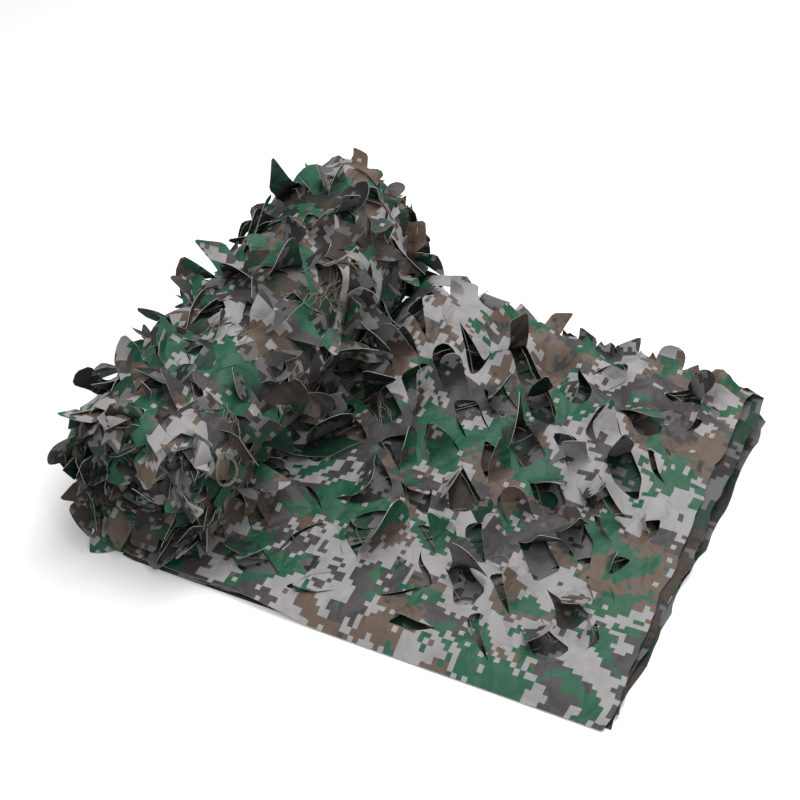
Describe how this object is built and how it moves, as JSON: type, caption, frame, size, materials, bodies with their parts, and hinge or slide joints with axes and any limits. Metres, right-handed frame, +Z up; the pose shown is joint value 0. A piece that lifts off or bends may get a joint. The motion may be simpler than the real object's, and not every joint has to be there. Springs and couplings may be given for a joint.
{
  "type": "rolled camouflage net",
  "caption": "Thin cloth camouflage net, die cut all over with curling tongues, folded lengthwise and rolled up, with its free end lying flat beside the roll.",
  "frame": {"origin": "middle of the footprint, on the surface that the net lies on", "axes": "+X along the flat free end, away from the roll; +Y along the roll's axis; +Z up"},
  "size_m": [0.6868, 0.5372, 0.2328],
  "materials": {
    "printed_cloth": "thin coated polyester cloth, printed with square blocks of pale grey, green, brown and dark grey, faint satin sheen"
  },
  "bodies": {
    "root": {"net_cloth": "printed_cloth"}
  },
  "joints": []
}
